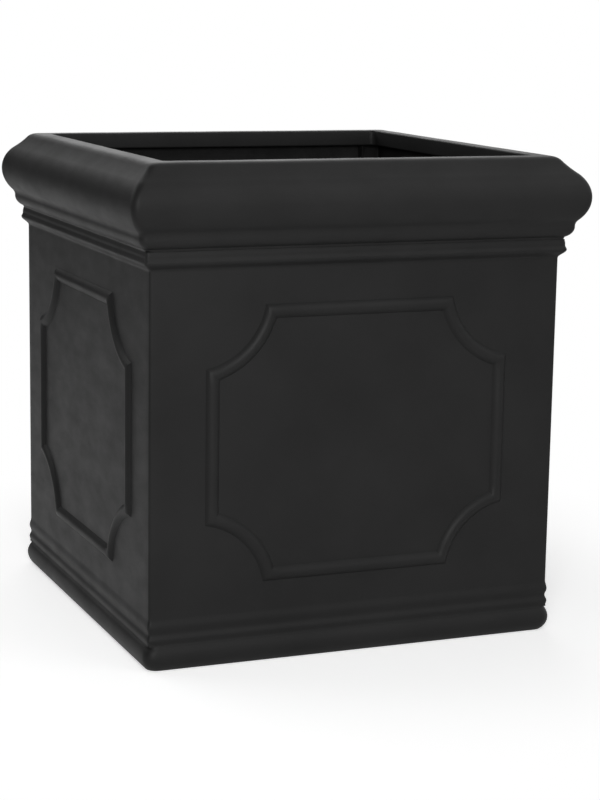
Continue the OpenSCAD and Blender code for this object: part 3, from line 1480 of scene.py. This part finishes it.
@dataclass
class DrainPlug:
    """Rubber plug: hollow stem with a lead-in, flange, waist and rounded grip.

    Attributes:
        foot: level of the stem's end.
        stem: radius and length of the stem.
        lead: height of the taper at the stem's end.
        wall: wall of the hollow stem.
        flange: radius and thickness of the flange.
        grip: radius and height of the grip.
        waist: radius between the flange and the grip.
        bore_round, rim_round: radii of the edges of the hollow's end and of the flange.
        root_round, neck_round: radii where the waist meets the flange and the grip.
        ease: width of the stem's eased edges.
        chords: chords round the plug.
    """

    foot: float = 16 * MM
    stem: Point = (12.9 * MM, 18 * MM)
    lead: float = 2 * MM
    wall: float = 4 * MM
    flange: Point = (20 * MM, 3 * MM)
    grip: Point = (7.5 * MM, 12 * MM)
    waist: float = 4.65 * MM
    bore_round: float = 0.8 * MM
    rim_round: float = 0.7 * MM
    root_round: float = 1.2 * MM
    neck_round: float = 0.5 * MM
    ease: float = 0.4 * MM
    chords: int = 64

    def profile(self) -> list[Point]:
        """The profile from the middle of the hollow, round the outside, to the top.

        Returns:
            Points as distance from the axis and height.
        """
        (stem_r, stem_h), (flange_r, flange_t) = self.stem, self.flange
        grip_r, grip_h = self.grip
        bore, deck, tip = stem_r - self.wall, self.foot + stem_h, stem_r - self.lead / 2
        top = deck + flange_t
        ball = top + grip_h - grip_r
        inner, rim, root, neck = self.bore_round, self.rim_round, self.root_round, self.neck_round
        return [
            (bore - 1 * MM, deck - self.wall),
            *arc((bore - inner, deck - self.wall - inner), inner, 80, 0, 4),
            (bore, self.foot + self.ease),
            (bore + self.ease, self.foot),
            (tip - self.ease, self.foot),
            (tip, self.foot + self.ease),
            (stem_r, self.foot + self.lead),
            (stem_r, deck - 0.6 * MM),
            (stem_r + 0.1 * MM, deck),
            *arc((flange_r - rim, deck + rim), rim, 270, 360, 4),
            *arc((flange_r - rim, top - rim), rim, 0, 90, 4),
            *arc((self.waist + root, top + root), root, 270, 180, 5),
            (self.waist, ball - 0.9 * MM),
            *arc((self.waist + neck, ball - neck), neck, 180, 90, 3),
            (grip_r - neck, ball),
            *arc((grip_r - neck, ball + neck), neck, 290, 360, 3),
            *arc((0, ball), grip_r, 8, 84, 12),
        ]

    def build(self, rubber: bpy.types.Material) -> None:
        """Models the plug in place of the CAD's.

        Args:
            rubber: its finish.
        """
        plug = turned_shell("rubber_plug", self.chords, self.profile())
        with editing(plug):
            for _ in range(2):  # each pass closes one of the two open ends
                pick(plug, "EDGE", lambda e: e.is_boundary)
                bpy.ops.mesh.edge_face_add()
        tidy(plug)
        paint(plug, rubber)
        smooth(plug)
        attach(plug, "plug")
        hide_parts("drain_plug")


# --------------------------------------------------------------------------- the studio


@dataclass(frozen=True)
class Lamp:
    """One soft box.

    Attributes:
        name: the lamp's name.
        place: where it hangs.
        width: width and height of its square face.
        power: watts.
        target: the point that it faces.
    """

    name: str
    place: Triple
    width: float
    power: float
    target: Triple = (0, 0, 0.28)

    def build(self) -> None:
        """Hangs the lamp."""
        data = bpy.data.lights.new(self.name, "AREA")
        data.shape = "RECTANGLE"
        data.size = data.size_y = self.width
        data.energy = self.power
        lamp = bpy.data.objects.new(self.name, data)
        lamp.location = self.place
        aim = Vector(self.target) - Vector(self.place)
        lamp.rotation_euler = aim.to_track_quat("-Z", "Y").to_euler()
        bpy.context.scene.collection.objects.link(lamp)


@dataclass
class Studio:
    """Camera, white sweep and soft light.

    Attributes:
        yaw, pitch, roll: the camera's aim in radians. Yaw is from +Y, towards +X when negative.
        place: the camera's place.
        focal_px: focal length in pixels of the 600 by 800 picture.
        frame_px: the picture's longer side.
        ambient: level of the light from all round.
        room_glow: level of the room that glossy surfaces show beside the sweep.
        sweep_edges: bearings of the sweep's left and right edge from +Y, in degrees.
        sweep_fade: width of its soft edges, in degrees.
        floor_size: width of the floor.
        floor_tone: brightness of the floor.
        floor_lift: light that the floor adds near the planter in the camera's view.
        floor_fade: distances over which the floor turns plain white in that view.
        floor_gloss: light that it adds in gloss, in line with the planter and beside it.
        gloss_span: distances to the side over which the one turns into the other.
        lamps: the soft boxes.
    """

    yaw: float = -0.39145
    pitch: float = 0.18879
    roll: float = 0.01610
    place: Triple = (-0.85836, -2.14539, 0.66563)
    focal_px: float = 2109.09
    frame_px: float = 800.0
    ambient: float = 2.2
    room_glow: float = 0.0
    sweep_edges: Point = (5.0, 170.0)
    sweep_fade: float = 8.0
    floor_size: float = 30.0
    floor_tone: float = 0.9
    floor_lift: float = 0.48
    floor_fade: Point = (0.3, 0.7)
    floor_gloss: Point = (0.28, 0.1)
    gloss_span: Point = (0.45, 0.7)
    lamps: tuple[Lamp, ...] = (
        Lamp("key_box", (-1.0, -2.6, 1.2), 1.0, 41.0),
        Lamp("front_box", (0.3, -2.8, 1.3), 1.2, 4.2),
        Lamp("high_left_box", (-0.6, -1.6, 2.2), 1.0, 5.9),
        Lamp("high_right_box", (0.9, -1.3, 2.1), 1.0, 4.7),
        Lamp("left_box", (-2.0, 1.4, 1.4), 1.2, 7.7),
        Lamp("rear_left_box", (-0.9, 1.9, 1.9), 1.2, 9.1),
        Lamp("rear_box", (0.6, 2.2, 1.9), 1.4, 12.1),
    )

    def camera(self) -> None:
        """Sets up the camera at the photograph's viewing angle."""
        data = bpy.data.cameras.new("camera")
        data.sensor_width = 36
        data.lens = self.focal_px / self.frame_px * data.sensor_width
        data.clip_start, data.clip_end = 0.05, 60
        camera = bpy.data.objects.new("camera", data)
        camera.location = self.place
        camera.rotation_euler = (
            Matrix.Rotation(self.yaw, 3, "Z")
            @ Matrix.Rotation(QUARTER - self.pitch, 3, "X")
            @ Matrix.Rotation(self.roll, 3, "Z")
        ).to_euler()
        bpy.context.scene.collection.objects.link(camera)
        bpy.context.scene.camera = camera

    def world(self) -> None:
        """Lights the scene evenly, and shows the white sweep to the camera and in gloss."""
        world = bpy.data.worlds.new("studio")
        world.use_nodes = True
        world.cycles.sampling_method = "NONE"
        graph = Graph(world.node_tree)
        even = graph.tree.nodes["Background"]
        graph.wire(even, {"Strength": self.ambient})
        white, room = (
            graph.add("Background", {"Color": WHITE, "Strength": level}).outputs[0]
            for level in (1.0, self.room_glow)
        )
        gloss = graph.mixed(self.on_sweep(graph), room, white)
        shown = graph.by_ray(even.outputs[0], gloss, white)
        graph.wire(graph.tree.nodes["World Output"], {"Surface": shown})
        bpy.context.scene.world = world

    def on_sweep(self, graph: Graph) -> Socket:
        """A value that is one where a direction meets the white sweep behind the planter.

        Args:
            graph: the world's nodes.

        Returns:
            The value's socket.
        """
        axes = graph.add("SeparateXYZ", {0: graph.add("TexCoord").outputs["Generated"]}).outputs
        bearing = graph.add("Math", {0: axes["X"], 1: axes["Y"]}, operation="ARCTAN2").outputs[0]
        sides = []
        for edge, way in zip(self.sweep_edges, (1, -1)):
            half = self.sweep_fade / 2 * way
            span = math.radians(edge - half), math.radians(edge + half)
            sides.append(graph.mapped(bearing, span, easing="SMOOTHSTEP"))
        return graph.add("Math", dict(enumerate(sides)), operation="MULTIPLY").outputs[0]

    def floor(self) -> None:
        """Lays the white floor under the planter, which keeps the planter's shadow."""
        bpy.ops.mesh.primitive_plane_add(size=self.floor_size, location=(0, 0, 0))
        floor = named("floor")
        nodes = Nodes("white_sweep", roughness=0.9, specular=0.0)
        nodes.wire(nodes.shader, {"Base Color": (self.floor_tone,) * 3 + (1,)})
        distance = nodes.add("VectorMath", {0: nodes.place}, operation="LENGTH").outputs["Value"]
        axes = nodes.add("SeparateXYZ", {0: nodes.place}).outputs
        aside = nodes.add("Math", {0: axes["X"]}, operation="ABSOLUTE").outputs[0]

        far = nodes.mapped(distance, self.floor_fade, easing="SMOOTHSTEP")
        white = nodes.add("Emission", {"Strength": 1.0}).outputs[0]
        seen = nodes.mixed(far, nodes.lifted(self.floor_lift), white)
        glow = nodes.mapped(aside, self.gloss_span, self.floor_gloss, easing="SMOOTHSTEP")
        final = nodes.by_ray(nodes.shader.outputs[0], nodes.lifted(glow), seen)
        nodes.wire(nodes.tree.nodes["Material Output"], {"Surface": final})
        floor.data.materials.append(nodes.material)

    def build(self) -> None:
        """Sets up the whole studio."""
        bpy.context.scene.view_settings.view_transform = "Standard"
        self.camera()
        self.world()
        self.floor()
        for lamp in self.lamps:
            lamp.build()


def main() -> None:
    """Dresses the planter piece by piece."""
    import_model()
    Studio().build()
    coat = AnthraciteCoat("anthracite_coat").build()
    laminate = RoughLaminate("rough_laminate").build()
    dust_and_painted_light_laminate = RoughLaminate("dust_and_painted_light_laminate", tone=0.045).build()  # paler copy for the inner floor: dust, with painted light that lifts the shaded floor
    rubber = PlugRubber("plug_rubber").build()
    log.info("walls: four moulded panels with their beads")
    WallPanel().build(coat, laminate)
    log.info("cornice: lip, torus and ovolo in one ring")
    Cornice().build(coat)
    log.info("tray: plinth, floor, hub and feet")
    Tray().build(coat, dust_and_painted_light_laminate)
    log.info("corner coves: four laid-up strips")
    CornerCove().build(laminate)
    log.info("plug: hollow stem, flange and grip")
    DrainPlug().build(rubber)


if __name__ == "__main__":
    logging.basicConfig(level=logging.INFO, format="%(message)s")
    main()
